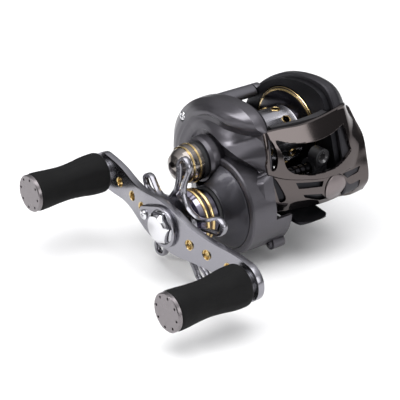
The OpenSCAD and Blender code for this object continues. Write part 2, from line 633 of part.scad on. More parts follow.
grip_x0 = arm_end_x + 2.1;
grip_x1 = 83;
grip_r = grip_d / 2;
grip_waist_r = grip_waist_d / 2;
module knob_grip() difference() {
    turned_x([[grip_x0, 0], [grip_x0, grip_r - 1], [grip_x0 + 1, grip_r], [grip_x0 + 7, grip_r - 0.2],
        [grip_x0 + 13, grip_waist_r + 0.3], [grip_x0 + 18, grip_waist_r], [grip_x0 + 24, grip_waist_r + 0.3],
        [grip_x1 - 1, grip_r - 0.6], [grip_x1, grip_r - 0.9], [grip_x1, 0]]);
    rod_x(50, 84, 1.55);
}
module knob_cap() difference() {
    turned_x([[83.45, 0], [83.45, 6.9], [83.05, 6.9], [83.05, 7.1], [84.2, 7.07], [84.5, 6.8], [84.5, 0]]);
    // drilled holes round the rim
    for (a = [0 : 45 : 315]) rotate([a, 0, 0]) translate([0, 0, 5.7]) rod_x(84, 86, 0.5);
}
module knob_grip_front() color("#1a1a1c") at_handle() translate([0, knob_s, 0]) knob_grip();
module knob_cap_front() color("#8b8788") at_handle() translate([0, knob_s, 0]) knob_cap();
module knob_grip_rear() color("#1a1a1c") at_handle() translate([0, -knob_s, 0]) knob_grip();
module knob_cap_rear() color("#8b8788") at_handle() translate([0, -knob_s, 0]) knob_cap();

// ---- Level wind ----

module worm_shaft() color("#b9bac0") at_worm() difference() {
    union() {
        rod_x(-15, 18.6, 1.2);
        rod_x(-12.3, 12.2, 2.3);
    }
    // grooves that the guide's pawl follows
    for (x = [-10 : 2.5 : 12.5]) ring_x(x - 0.5, x + 0.5, 3, 1.7);
}

module worm_gear() color("#e8e6e0") at_worm() difference() {
    spur_gear(16.8, 18.2, worm_gear_teeth, worm_angle + 180 + 180 / worm_gear_teeth);
    rod_x(16, 19, 1.22);
}

module line_guide() color("#1b1b1d") at_spool() translate([guide_x, 0, 0]) difference() {
    union() {
        translate([0, worm_dy, worm_dz]) rod_x(-3, 3, 3.8);
        hull() {
            box([-2.2, worm_dy - 0.5, worm_dz], [2.2, worm_dy + 3.6, worm_dz + 3]);
            translate([0, worm_dy, -0.8]) rotate([-90, 0, 0]) cylinder(h = 4.6, r = 3.3, $fn = 32);
        }
        hull() {
            box([-2.2, worm_dy - 1, worm_dz - 3.5], [2.2, worm_dy + 1.5, worm_dz]);
            translate([0, rail_dy, rail_dz]) rod_x(-2.2, 2.2, 1.8);
        }
    }
    translate([0, worm_dy, worm_dz]) rod_x(-5, 5, 2.4);
    translate([0, rail_dy, rail_dz]) rod_x(-5, 5, 0.95);
    translate([0, 15, -0.8]) rotate([-90, 0, 0]) cylinder(h = 15, r = 2.35);
    translate([0, worm_dy, worm_dz - 5]) cylinder(h = 4, r = 0.92);
}

module guide_insert() color("#c8c6c2") at_spool()
    translate([guide_x, worm_dy - 0.1, -0.8]) rotate([-90, 0, 0])
    rotate_extrude() polygon([[1.45, 0.4], [1.2, 2.4], [1.45, 4.4], [2.3, 5], [2.3, 0]]);

module guide_rail() color("#cfcfd3") at_rail() rod_x(-14.9, 16.2, 0.9);

// Pin in the carriage that rides on the worm
module guide_pawl() color("#c9a24b") at_worm() translate([guide_x, 0, -4.9]) {
    cylinder(h = 2.5, r = 0.7);
    cylinder(h = 0.5, r = 0.9);
}

frame();
top_bridge();
reel_foot();
foot_screws();
gear_side_plate();
gear_dome();
palm_side_plate();
front_cover();
badge_disc();
case_screws();
thumb_bar();
spool();
spool_rim_rings();
spool_shaft();
brake_rotor();
palm_bearing();
cap_bearing();
gear_bearings();
worm_bushes();
cap_collar();
cap_o_ring();
cast_control_cap();
cap_ring();
tension_shim();
brake_dial();
magnet_holder();
brake_magnets();
drive_shaft();
drive_gear();
drag_washers();
one_way_bearing();
clutch_sleeve();
ratchet_wheel();
ratchet_pawl();
level_wind_gear();
dome_seal();
drag_sleeve();
sleeve_rings();
star_wheel();
drag_nut();
handle_arm();
hole_rings();
handle_nut();
nut_retainer();
retainer_screw();
knob_posts();
knob_grip_front();
knob_cap_front();
knob_grip_rear();
knob_cap_rear();
pinion_gear();
clutch_yoke();
yoke_posts();
yoke_springs();
worm_shaft();
worm_gear();
guide_rail();
line_guide();
guide_insert();
guide_pawl();
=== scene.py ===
import math
import bpy
from mathutils import Matrix, Vector


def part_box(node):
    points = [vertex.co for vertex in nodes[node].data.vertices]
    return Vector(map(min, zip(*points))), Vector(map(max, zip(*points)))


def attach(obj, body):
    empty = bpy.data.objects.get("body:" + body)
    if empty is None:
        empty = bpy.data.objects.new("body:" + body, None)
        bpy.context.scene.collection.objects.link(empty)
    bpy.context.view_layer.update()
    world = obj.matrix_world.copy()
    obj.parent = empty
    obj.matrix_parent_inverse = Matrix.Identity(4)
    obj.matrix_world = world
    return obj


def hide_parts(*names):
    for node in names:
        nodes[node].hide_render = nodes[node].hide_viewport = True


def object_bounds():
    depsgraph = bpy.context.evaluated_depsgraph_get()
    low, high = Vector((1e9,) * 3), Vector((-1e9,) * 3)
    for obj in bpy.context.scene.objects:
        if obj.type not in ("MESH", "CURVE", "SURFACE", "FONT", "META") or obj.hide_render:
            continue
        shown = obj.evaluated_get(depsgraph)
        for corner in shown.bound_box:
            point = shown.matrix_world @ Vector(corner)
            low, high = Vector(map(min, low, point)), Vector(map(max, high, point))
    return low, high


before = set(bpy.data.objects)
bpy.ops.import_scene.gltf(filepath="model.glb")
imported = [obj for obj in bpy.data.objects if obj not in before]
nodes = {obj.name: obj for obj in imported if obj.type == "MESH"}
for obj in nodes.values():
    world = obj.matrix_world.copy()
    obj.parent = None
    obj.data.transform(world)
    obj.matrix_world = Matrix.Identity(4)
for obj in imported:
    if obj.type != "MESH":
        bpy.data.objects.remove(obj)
cad_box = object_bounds()

# ---- Camera ----
# A long lens above the front of the handle side, level with the horizon.
MM = 0.001
camera_data = bpy.data.cameras.new("camera")
camera_data.lens = 130.15
camera_data.clip_start = 0.01
camera = bpy.data.objects.new("camera", camera_data)
bpy.context.scene.collection.objects.link(camera)
bpy.context.scene.camera = camera
view_back = Vector((0.5508, 0.7110, 0.4371)).normalized()
view_right = Vector((0, 0, 1)).cross(view_back).normalized()
view_up = view_back.cross(view_right)
camera.matrix_world = Matrix((view_right, view_up, view_back)).transposed().to_4x4()
camera.location = Vector((329.5, 384.7, 243.4)) * MM

# ---- Floor and light ----
# A pale paper sweep with broad soft boxes round it: one overhead, one behind the handle side,
# one low in front. The sky is dark at the horizon and below it, and bright overhead, which gives the metal
# something to mirror.
low_corner, high_corner = cad_box
floor_z = low_corner[2] - 0.4 * MM


def linear(code):
    """An sRGB hex colour as linear RGBA."""
    parts = [int(code[i:i + 2], 16) / 255 for i in (0, 2, 4)]
    return [p / 12.92 if p <= 0.04045 else ((p + 0.055) / 1.055) ** 2.4 for p in parts] + [1.0]


def add_node(tree, kind, settings=None, links=None):
    """A node with its settings and inputs set, and its inputs linked from other sockets."""
    node = tree.nodes.new(kind)
    for name, value in (settings or {}).items():
        if name in node.inputs.keys():
            node.inputs[name].default_value = value
        else:
            setattr(node, name, value)
    for name, source in (links or {}).items():
        tree.links.new(source, node.inputs[name])
    return node


def new_material(name, colour, metallic, roughness, settings=None):
    """A material with only its shader, and that shader's own tree."""
    material = bpy.data.materials.new(name)
    material.use_nodes = True
    tree = material.node_tree
    shader = tree.nodes["Principled BSDF"]
    shader.inputs["Base Color"].default_value = linear(colour)
    shader.inputs["Metallic"].default_value = metallic
    shader.inputs["Roughness"].default_value = roughness
    for key, value in (settings or {}).items():
        shader.inputs[key].default_value = value
    return material, tree, shader


def grain(tree, shader, size_mm, depth_mm, rough=None, tint=None, stretch=(1, 1, 1), detail=3):
    """Fine surface texture: bump of a grain size and depth, roughness and colour that vary with it."""
    place = add_node(tree, "ShaderNodeTexCoord")
    turned_place = add_node(tree, "ShaderNodeMapping", {"Scale": stretch},
                            {"Vector": place.outputs["Object"]})
    noise = add_node(tree, "ShaderNodeTexNoise", {"Scale": 1 / (size_mm * MM), "Detail": detail},
                     {"Vector": turned_place.outputs[0]})
    if depth_mm:
        bump = add_node(tree, "ShaderNodeBump", {"Strength": 1.0, "Distance": depth_mm * MM},
                        {"Height": noise.outputs[0]})
        tree.links.new(bump.outputs[0], shader.inputs["Normal"])
    cloud = add_node(tree, "ShaderNodeTexNoise", {"Scale": 1 / (6 * MM), "Detail": 4.0},
                     {"Vector": place.outputs["Object"]})
    if rough:
        spread = add_node(tree, "ShaderNodeMapRange", {"To Min": rough[0], "To Max": rough[1]},
                          {"Value": cloud.outputs[0]})
        tree.links.new(spread.outputs[0], shader.inputs["Roughness"])
    if tint:
        mix = add_node(tree, "ShaderNodeMix", {"data_type": "RGBA"}, {"Factor": noise.outputs[0]})
        colours = [s for s in mix.inputs if s.type == "RGBA"]
        colours[0].default_value = linear(tint[0])
        colours[1].default_value = linear(tint[1])
        tree.links.new([s for s in mix.outputs if s.type == "RGBA"][0], shader.inputs["Base Color"])


world = bpy.data.worlds.new("studio")
bpy.context.scene.world = world
world.use_nodes = True
sky = world.node_tree
sky_place = add_node(sky, "ShaderNodeTexCoord")
sky_height = add_node(sky, "ShaderNodeSeparateXYZ", links={"Vector": sky_place.outputs["Generated"]})
sky_ramp = add_node(sky, "ShaderNodeValToRGB", links={"Fac": sky_height.outputs["Z"]})
sky_ramp.color_ramp.elements[0].position = 0.0
sky_ramp.color_ramp.elements[0].color = (0.1, 0.1, 0.105, 1)
sky_ramp.color_ramp.elements[1].position = 0.85
sky_ramp.color_ramp.elements[1].color = (0.95, 0.95, 0.97, 1)
middle_stop = sky_ramp.color_ramp.elements.new(0.35)
middle_stop.color = (0.2, 0.2, 0.205, 1)
sky.links.new(sky_ramp.outputs[0], sky.nodes["Background"].inputs["Color"])
sky.nodes["Background"].inputs["Strength"].default_value = 1.0

bpy.ops.object.select_all(action="DESELECT")
bpy.ops.mesh.primitive_plane_add(size=6, location=(0, 0, floor_z))
floor = bpy.context.object
floor.name = "floor"
# Matte paper, nearly white: it lights the metal from below.
paper, paper_tree, paper_shader = new_material("pale_paper", "F4F4F4", 0, 0.9)
grain(paper_tree, paper_shader, 0.8, 0.02, rough=(0.85, 0.95), tint=("F2F2F2", "F6F6F6"))
floor.data.materials.append(paper)

object_middle = (Vector(low_corner) + Vector(high_corner)) / 2


def soft_box(name, place, width, height, watts):
    """A soft box at a place, in metres from the object's middle, aimed at it."""
    data = bpy.data.lights.new(name, "AREA")
    data.shape = "RECTANGLE"
    data.size, data.size_y = width, height
    data.energy = watts
    lamp = bpy.data.objects.new(name, data)
    bpy.context.scene.collection.objects.link(lamp)
    lamp.location = object_middle + Vector(place)
    lamp.rotation_euler = (-Vector(place)).to_track_quat("-Z", "Y").to_euler()
    return lamp


soft_box("overhead_box", (0.05, 0.1, 0.75), 0.9, 0.7, 5)
soft_box("handle_side_box", (0.75, -0.25, 0.42), 0.3, 0.3, 3.6)
soft_box("front_box", (-0.25, 0.85, 0.35), 0.5, 0.45, 2)
bpy.context.scene.view_settings.view_transform = "Standard"

# ---- Frame ----
# One aluminium casting that carries everything: two walls, cross bars and the bearing seats.
# It is machined and then anodised satin black, so it reads as dark grey with soft edges.


def middle(node):
    """Centre of a CAD node's box."""
    low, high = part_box(node)
    return (low + high) / 2


spool_axis = middle("palm_bearing")
main_axis = middle("dome_seal")


def at(x, y, z, axis=None):
    """A place in millimetres from the spool's middle, or from another axis, in metres."""
    origin = spool_axis if axis is None else axis
    return Vector((x * MM, origin.y + y * MM, origin.z + z * MM))


def paint(material, *names):
    """Gives CAD nodes that stay in view their finish."""
    for name in names:
        node = nodes[name]
        node.data.materials.clear()
        node.data.materials.append(material)


# Satin black anodising: dark grey, with broad soft highlights.
black_anodised, tree, shader = new_material("satin_black_anodised_aluminium", "232326", 0.85, 0.38)
grain(tree, shader, 0.25, 0.004, rough=(0.32, 0.46), tint=("1E1E21", "2A2A2E"))
paint(black_anodised, "frame", "foot_screws")

# ---- Working parts inside ----
# Ball races, shafts, springs and the ratchet are ground stainless steel; gears, nut and pinion
# are machined brass; the level-wind gears and the yoke are moulded acetal.
# Ground steel: bright, with fine marks along X.
ground_steel, tree, shader = new_material("ground_stainless_steel", "C9C9CC", 1, 0.24)
grain(tree, shader, 0.12, 0.003, rough=(0.18, 0.32), stretch=(0.15, 1, 1))
# Machined brass: warm yellow with turning marks.
machined_brass, tree, shader = new_material("machined_brass", "D0A85C", 1, 0.28)
grain(tree, shader, 0.15, 0.003, rough=(0.2, 0.36), tint=("C79F52", "D9B46C"), stretch=(0.2, 1, 1))
# Moulded acetal: off-white, with a slightly waxy shine.
white_acetal, tree, shader = new_material("moulded_acetal", "E2E0D6", 0, 0.42, {"IOR": 1.48})
grain(tree, shader, 0.5, 0.004, rough=(0.36, 0.5), tint=("DEDCD1", "E6E4DB"))
# Carbon fibre washers: near black, dull, with a mottle in place of the fine weave.
carbon_washer, tree, shader = new_material("woven_carbon_washer", "1F1F20", 0, 0.5)
grain(tree, shader, 0.4, 0.01, rough=(0.4, 0.6), tint=("171718", "2C2C2E"))
paint(ground_steel, "palm_bearing", "cap_bearing", "gear_bearings", "drive_shaft", "one_way_bearing",
      "clutch_sleeve", "ratchet_wheel", "yoke_posts", "yoke_springs", "guide_rail", "spool_shaft",
      "brake_magnets", "brake_rotor", "knob_posts")
paint(machined_brass, "drive_gear", "pinion_gear", "ratchet_pawl", "drag_nut", "tension_shim", "guide_pawl")
paint(white_acetal, "level_wind_gear", "worm_gear", "clutch_yoke")
paint(carbon_washer, "drag_washers")

# ---- Handle-side cover ----
# Die-cast aluminium shell over the gears, with a crescent lobe along the top, a hollow under it
# and a facet that runs out to a ridge. Metallic gunmetal paint, rubbed satin.


def spline(keys, t):
    """Smooth value at t through (t, value...) keys, each value a number."""
    keys = sorted(keys)
    if t <= keys[0][0]:
        return keys[0][1:]
    if t >= keys[-1][0]:
        return keys[-1][1:]
    i = max(k for k in range(len(keys) - 1) if keys[k][0] <= t)
    before, start, end, after = (keys[max(i - 1, 0)], keys[i], keys[i + 1], keys[min(i + 2, len(keys) - 1)])
    span = end[0] - start[0]
    u = (t - start[0]) / span
    found = []
    for k in range(1, len(start)):
        slope0 = (end[k] - before[k]) / (end[0] - before[0]) * span
        slope1 = (after[k] - start[k]) / (after[0] - start[0]) * span
        found.append((2 * u ** 3 - 3 * u ** 2 + 1) * start[k] + (u ** 3 - 2 * u ** 2 + u) * slope0
                     + (3 * u ** 2 - 2 * u ** 3) * end[k] + (u ** 3 - u ** 2) * slope1)
    return tuple(found)


def smooth_loop(points, steps):
    """Closed smooth curve through points, with that many steps between each two."""
    found = []
    count = len(points)
    for i in range(count):
        a, b, c, d = (Vector(points[(i + k) % count]) for k in (-1, 0, 1, 2))
        for k in range(steps):
            t = k / steps
            found.append(0.5 * (2 * b + (c - a) * t + (2 * a - 5 * b + 4 * c - d) * t ** 2
                                + (3 * b - a - 3 * c + d) * t ** 3))
    return found


def sheet(name, across, along, place, closed=False):
    """A grid primitive whose points are put at place(u, v), with u and v from 0 to 1."""
    bpy.ops.object.select_all(action="DESELECT")
    bpy.ops.mesh.primitive_grid_add(x_subdivisions=across, y_subdivisions=along, size=1)
    piece = bpy.context.object
    piece.name = name
    for vertex in piece.data.vertices:
        vertex.co = place(min(max(vertex.co.x + 0.5, 0), 1), min(max(vertex.co.y + 0.5, 0), 1))
    if closed:
        clean(piece)
    return piece


def pick(piece):
    """Selects one piece and nothing else."""
    bpy.ops.object.select_all(action="DESELECT")
    piece.select_set(True)
    bpy.context.view_layer.objects.active = piece


def clean(piece, gap=0.004):
    """Merges points that fall together and turns all faces outwards."""
    pick(piece)
    bpy.ops.object.mode_set(mode="EDIT")
    bpy.ops.mesh.select_all(action="SELECT")
    bpy.ops.mesh.remove_doubles(threshold=gap * MM)
    bpy.ops.mesh.normals_make_consistent(inside=False)
    bpy.ops.object.mode_set(mode="OBJECT")


def modify(piece, kind, **settings):
    """Adds a modifier and applies it."""
    pick(piece)
    modifier = piece.modifiers.new(kind.lower(), kind)
    for name, value in settings.items():
        setattr(modifier, name, value)
    bpy.ops.object.modifier_apply(modifier=modifier.name)


def merge(first, *others):
    """Joins pieces into one mesh."""
    bpy.ops.object.select_all(action="DESELECT")
    for piece in (first, *others):
        piece.select_set(True)
    bpy.context.view_layer.objects.active = first
    bpy.ops.object.join()
    return first


def cut(piece, *tools, operation="DIFFERENCE", folded=False):
    """Cuts tools out of a piece, or joins them to it, and removes them. Folded is for thin shells."""
    for tool in tools:
        modify(piece, "BOOLEAN", object=tool, operation=operation, solver="EXACT", use_self=folded)
        bpy.data.objects.remove(tool)


def turned(name, profile, axis, steps=96):
    """A solid of revolution about an axis along X. The profile is (x, radius), in millimetres."""
    bpy.ops.object.select_all(action="DESELECT")
    bpy.ops.mesh.primitive_circle_add(vertices=len(profile), radius=1)
    piece = bpy.context.object
    piece.name = name
    for vertex, (x, radius) in zip(piece.data.vertices, profile):
        vertex.co = at(x, 0, radius, axis)
    bpy.ops.object.mode_set(mode="EDIT")
    bpy.ops.mesh.select_all(action="SELECT")
    bpy.ops.mesh.spin(steps=steps, angle=math.tau, center=at(0, 0, 0, axis), axis=(1, 0, 0))
    bpy.ops.object.mode_set(mode="OBJECT")
    clean(piece)
    return piece


def extruded(name, corners, way):
    """A flat piece: its corners in metres, extruded by a distance in millimetres along each axis."""
    bpy.ops.object.select_all(action="DESELECT")
    bpy.ops.mesh.primitive_circle_add(vertices=len(corners), radius=1, fill_type="NGON")
    piece = bpy.context.object
    piece.name = name
    for vertex, corner in zip(piece.data.vertices, corners):
        vertex.co = corner
    bpy.ops.object.mode_set(mode="EDIT")
    bpy.ops.mesh.select_all(action="SELECT")
    bpy.ops.mesh.extrude_region_move(TRANSFORM_OT_translate={"value": [step * MM for step in way]})
    bpy.ops.object.mode_set(mode="OBJECT")
    clean(piece)
    return piece


def prism(name, outline, x0, x1, axis=None):
    """A flat piece across X: an outline of (y, z) in millimetres, extruded from x0 to x1."""
    return extruded(name, [at(x0, y, z, axis) for y, z in outline], (x1 - x0, 0, 0))


def arc(y, z, radius, start, end, steps):
    """Points of an arc, from one angle in degrees to another."""
    angles = [math.radians(start + (end - start) * k / steps) for k in range(steps + 1)]
    return [(y + radius * math.cos(a), z + radius * math.sin(a)) for a in angles]


def disc(name, x0, x1, radius, axis=None, y=0, z=0, steps=48):
    """A plain round tool for cutting or joining."""
    return prism(name, arc(y, z, radius, 0, 360 - 360 / steps, steps - 1), x0, x1, axis)


def finish_edges(piece, width=0.15, segments=2, angle=35, smooth=32):
    """Breaks the sharp edges and smooths the rest."""
    if width:
        modify(piece, "BEVEL", width=width * MM, segments=segments, limit_method="ANGLE",
               angle_limit=math.radians(angle), use_clamp_overlap=True)
    pick(piece)
    bpy.ops.object.shade_smooth_by_angle(angle=math.radians(smooth))


def fit(piece, material, body, slot, *replaced):
    """Gives a finished piece its material, its body and the CAD nodes it stands for."""
    piece.data.materials.clear()
    piece.data.materials.append(material)
    for face in piece.data.polygons:
        face.material_index = 0
    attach(piece, body)
    if replaced:
        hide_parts(*replaced)


side_outline = smooth_loop([(-28.5, -6), (-27.8, 2), (-23.5, 10), (-16, 16.6), (-7, 20.8), (3, 22.6),
                            (13, 22.2), (20.3, 18.5), (24, 10), (25.6, 0), (27.6, -9), (27.8, -16), (20, -22),
                            (5, -24), (-10, -21), (-21, -17), (-27, -12.5)], 10)


def outline_radius(outline):
    """Table of (angle, radius) of an outline about the spool axis, in degrees and millimetres."""
    return sorted((math.degrees(math.atan2(z, y)), math.hypot(y, z)) for y, z in outline)


def look_up(table, angle):
    """Radius at an angle, straight between the table's entries, and round past its ends."""
    table = [(table[-1][0] - 360, table[-1][1])] + table + [(table[0][0] + 360, table[0][1])]
    for (a0, r0), (a1, r1) in zip(table, table[1:]):
        if a0 <= angle <= a1:
            return r0 + (r1 - r0) * (angle - a0) / max(a1 - a0, 1e-9)
    return table[0][1]


side_radius = outline_radius(side_outline)
# Lines that the shell is drawn through, as (angle about the spool axis, radius, x)
crease = [(0, 25.2, 17.4), (24, 26, 17.2), (33, 25.4, 18), (37.4, 23.4, 20.5), (47.6, 20.3, 23),
          (63, 17.7, 24.8), (77, 16.9, 25.2), (93, 16.6, 25.3), (115, 16, 25), (136, 17, 24.4), (165, 18, 23.8)]
hollow = [(0, 24.8, 18), (22, 24.6, 18), (33.2, 22.1, 18.3), (37.8, 20.2, 20.4), (46.6, 17.5, 22.6),
          (62, 14.6, 23.8), (86, 13.5, 24), (115, 14, 24.1), (136, 14.8, 24.2), (165, 15.8, 24)]
ridge = [(-14, 25.6, 17.6), (-0.7, 23.4, 17.8), (1.3, 21.7, 19.6), (9, 20.1, 22.5), (16.7, 17.7, 25),
         (28.6, 14, 26), (48, 10.6, 26), (86, 9.6, 25.5), (115, 10.6, 24.9), (140, 11.5, 24.6),
         (165, 12.2, 24.4)]
neck_r = 8.2


def ring_point(side, v, angle):
    """The place a part v of the way through a (radius, x) profile, at an angle in degrees."""
    place = v * (len(side) - 1)
    k = min(int(place + 1e-6), len(side) - 2)
    radius = side[k][0] + (side[k + 1][0] - side[k][0]) * (place - k)
    x = side[k][1] + (side[k + 1][1] - side[k][1]) * (place - k)
    return at(x, radius * math.cos(math.radians(angle)), radius * math.sin(math.radians(angle)))


def side_shell(u, v):
    """Outer surface of the handle-side cover: round by u, in from the rim by v."""
    angle = -180 + 360 * u
    rim = look_up(side_radius, angle)
    wanted = angle if angle > -100 else angle + 360
    fade = min(1, max(0, (wanted - 150) / 40)) if wanted > 90 else min(1, max(0, (0 - wanted) / 12))
    c_r, c_x = spline(crease, wanted)
    h_r, h_x = spline(hollow, wanted)
    g_r, g_x = spline(ridge, wanted)
    plain = [(rim * 0.74, 24.6), (rim * 0.66, 24.8), (rim * 0.5, 24.9)]
    c_r, c_x = c_r + (plain[0][0] - c_r) * fade, c_x + (plain[0][1] - c_x) * fade
    h_r, h_x = h_r + (plain[1][0] - h_r) * fade, h_x + (plain[1][1] - h_x) * fade
    g_r, g_x = g_r + (plain[2][0] - g_r) * fade, g_x + (plain[2][1] - g_x) * fade
    c_r = min(c_r, rim - 0.35)
    h_r = min(h_r, c_r - 0.3)
    g_r = min(g_r, h_r - 0.3)
    shoulder_x = min(21, c_x - 0.2)
    outer = [(rim, 16.5), (rim, 17.0 + 0.3 * (shoulder_x - 17)), (rim - 0.25, shoulder_x),
             (c_r + 0.55 * (rim - c_r), shoulder_x + 0.66 * (c_x - shoulder_x) + 0.1),
             (c_r + 0.2 * (rim - c_r), shoulder_x + 0.93 * (c_x - shoulder_x) + 0.1),
             (c_r, c_x), (c_r * 0.75 + h_r * 0.25, c_x * 0.35 + h_x * 0.65), (h_r, h_x),
             (0.5 * (h_r + g_r), 0.5 * (h_x + g_x) + 0.12), (g_r, g_x),
             (g_r - 0.5, min(g_x, 24.8) - 0.2), (neck_r, 24.2)]
    inner = [(neck_r, 22.4), (max(min(g_r - 0.8, rim - 6), neck_r + 0.2), min(g_x, 24.4) - 2),
             (min(h_r - 0.8, rim - 4), max(min(h_x, 24.2) - 2, 16.9)),
             (min(0.5 * (c_r + rim) - 1.4, rim - 2.6), max(shoulder_x - 1.4, 16.8)),
             (rim - 1.8, max(shoulder_x - 2.6, 16.7)), (rim - 1.6, 16.5)]
    return ring_point(outer + inner + outer[:1], v, angle)


gear_cover = sheet("gear_side_plate", 240, 72, side_shell, closed=True)
modify(gear_cover, "SMOOTH", factor=0.35, iterations=1)
cut(gear_cover, disc("gear_room", 0, 40, 18, main_axis, steps=96))
case_line = [(9, 19), (26.7, 19), (27.3, 18.6), (27.6, 17.9), (27.6, 16.75), (26.2, 16.75), (26.0, 17.5),
             (9, 17.5)]
gear_case = turned("gear_case", case_line, main_axis, steps=144)
skirt_line = [(-30, 30), (-30, -19.9), (21.6, -19.9), (21.6, -17.8), (40, -17.8), (40, 30)]
cut(gear_case, prism("skirt_trim", skirt_line, 8, 16.5))
finish_edges(gear_case, 0)
side_screw_at, lug_at = (-19.6, 9.2), (22.6, -30.6)
lug = disc("lug", 9, 14.4, 2.6, None, *lug_at)
cut(gear_cover, gear_case, lug, operation="UNION")
cut(gear_cover, disc("neck_hole", 15, 40, 8.15, steps=72), disc("neck_flare", 24.7, 40, 9.1, steps=72),
    disc("case_bore", 12, 26.05, 17.45, main_axis, steps=96),
    disc("dome_seat", 20, 40, 16.72, main_axis, steps=144),
    disc("side_screw_hole", 10, 23, 1.05, None, *side_screw_at),
    disc("side_screw_seat", 22.4, 30, 2, None, *side_screw_at),
    disc("lug_screw_hole", 11, 15, 0.92, None, *lug_at, 24),
    disc("lug_screw_seat", 14.4, 16.2, 1.8, None, *lug_at, 24))
clean(gear_cover)
finish_edges(gear_cover, 0, smooth=24)
# Metallic gunmetal paint: dark warm grey with a satin sheen along each crease.
gunmetal_paint, tree, shader = new_material("metallic_gunmetal_paint", "525055", 0.85, 0.32,
                                            {"Coat Weight": 0.15})
grain(tree, shader, 0.18, 0.004, rough=(0.28, 0.38), tint=("4B494E", "59575C"))
fit(gear_cover, gunmetal_paint, "casing", "gunmetal_paint", "gear_side_plate")

# ---- Gear dome ----
# A separate cap pressed into the gear case. Its cone is cut into flat panels that meet in
# slanting ridges. Charcoal metallic paint.
dome_profile = [(27.7, 16.62), (28.1, 16.4), (29.2, 15.2), (31.3, 12.9), (33.4, 10.5), (34, 9.8)]
# Ridges as (angle at the seam, angle at the top), in degrees about the main shaft
dome_ridges = [(92, 117), (23, 2), (-46, -67), (-117, -92), (161, 178)]


def dome_skin(u, v):
    """Outer surface of the dome, with each ridge standing proud of the cone."""
    place = v * (len(dome_profile) - 1)
    k = min(int(place), len(dome_profile) - 2)
    x = dome_profile[k][0] + (dome_profile[k + 1][0] - dome_profile[k][0]) * (place - k)
    radius = dome_profile[k][1] + (dome_profile[k + 1][1] - dome_profile[k][1]) * (place - k)
    angle = -180 + 360 * u
    spread = math.sin(math.pi * min(1, max(0, (x - 27.9) / 5.4)))
    nearest = min(abs((angle - (low + (high - low) * (x - 27.7) / 5.7) + 180) % 360 - 180)
                  for low, high in dome_ridges)
    panel = 1 - min(nearest / 34, 1)
    radius += spread * (1.25 * panel ** 1.3 - 0.45)
    return at(x, radius * math.cos(math.radians(angle)), radius * math.sin(math.radians(angle)), main_axis)


dome = sheet("gear_dome", 180, 25, dome_skin, closed=True)
modify(dome, "SOLIDIFY", thickness=1.6 * MM, offset=-1)
root_line = [(24.4, 15.2), (24.4, 16.62), (27.8, 16.62), (28.6, 15), (27.6, 14.4)]
eye_line = [(26.8, 7.05), (26.8, 8.9), (31.5, 9.4), (33, 10.4), (34, 9.9), (34, 7.05)]
cut(dome, turned("dome_root", root_line, main_axis, 144), turned("dome_eye", eye_line, main_axis, 96),
    operation="UNION")
cut(dome, disc("neck_way", 20, 40, 9.4, steps=72))
clean(dome)
finish_edges(dome, 0, smooth=14)
# Metallic charcoal paint: darker than the cover round it, with the same satin sheen.
charcoal_paint, tree, shader = new_material("metallic_charcoal_paint", "3C3B40", 0.85, 0.36,
                                            {"Coat Weight": 0.15})
grain(tree, shader, 0.18, 0.004, rough=(0.3, 0.4), tint=("36353A", "434247"))
fit(dome, charcoal_paint, "casing", "charcoal_paint", "gear_dome")

# ---- Cover screws ----
# Steel pan-head screws with a cross recess: a chromed one in the rear of the cover, and one in
# the lug below that is painted over with it.


def cross_screw(name, x0, x1, shank_r, head_r, y, z, axis=None):
    """A pan-head screw along X with a cross recess in its domed head."""
    top = x1 + head_r * 0.5
    profile = [(x0, 0), (x0, shank_r), (x1, shank_r), (x1, head_r), (x1 + head_r * 0.22, head_r),
               (x1 + head_r * 0.42, head_r * 0.78), (top, head_r * 0.4), (top + 0.04, 0)]
    centre = (spool_axis if axis is None else axis) + Vector((0, y * MM, z * MM))
    screw = turned(name, profile, centre, 48)
    slots = []
    for across, high in ((0.5, 0.11), (0.11, 0.5)):
        w, h = across * head_r, high * head_r
        bar = [(-w, -h), (w, -h), (w, h), (-w, h)]
        slots.append(prism("slot", bar, x1 + head_r * 0.26, top + 1, centre))
    cut(screw, *slots)
    finish_edges(screw, 0.04)
    return screw


side_screw = cross_screw("side_screw", 18.2, 22.6, 0.96, 1.9, *side_screw_at)
lug_screw = cross_screw("lug_screw", 11.2, 14.5, 0.86, 1.7, *lug_at)
# Chrome plate: a near mirror.
bright_chrome, tree, shader = new_material("polished_chrome_plate", "D9D9DC", 1, 0.1)
grain(tree, shader, 0.3, 0.002, rough=(0.06, 0.16))
fit(side_screw, bright_chrome, "casing", "chrome_screw", "case_screws")
fit(lug_screw, gunmetal_paint, "casing", "gunmetal_paint")

# ---- Palm-side cover ----
# Die-cast shell that twists off to let the spool out. Matte dark gunmetal, low at the front
# corner and full at the bottom, with a dished edge round the spool well.
palm_outline = smooth_loop([(-28.5, -6), (-27.8, 2), (-23.5, 10), (-16, 16.6), (-7, 21.6), (3, 24.2),
                            (12, 24.6), (18.5, 22.9), (22.8, 17.6), (26, 9), (29.6, -2.5), (31.2, -11),
                            (29.3, -17), (20, -18.5), (0, -19), (-15, -18.5), (-25, -14.5)], 10)
palm_radius = outline_radius(palm_outline)
# How far the shell closes in by its outer face, by angle about the spool axis
palm_taper = [(-180, 0.86), (-60, 0.95), (-20, 1), (-5, 1), (10, 0.97), (22, 0.88), (37, 0.8), (60, 0.79),
              (90, 0.82), (135, 0.86), (180, 0.86)]


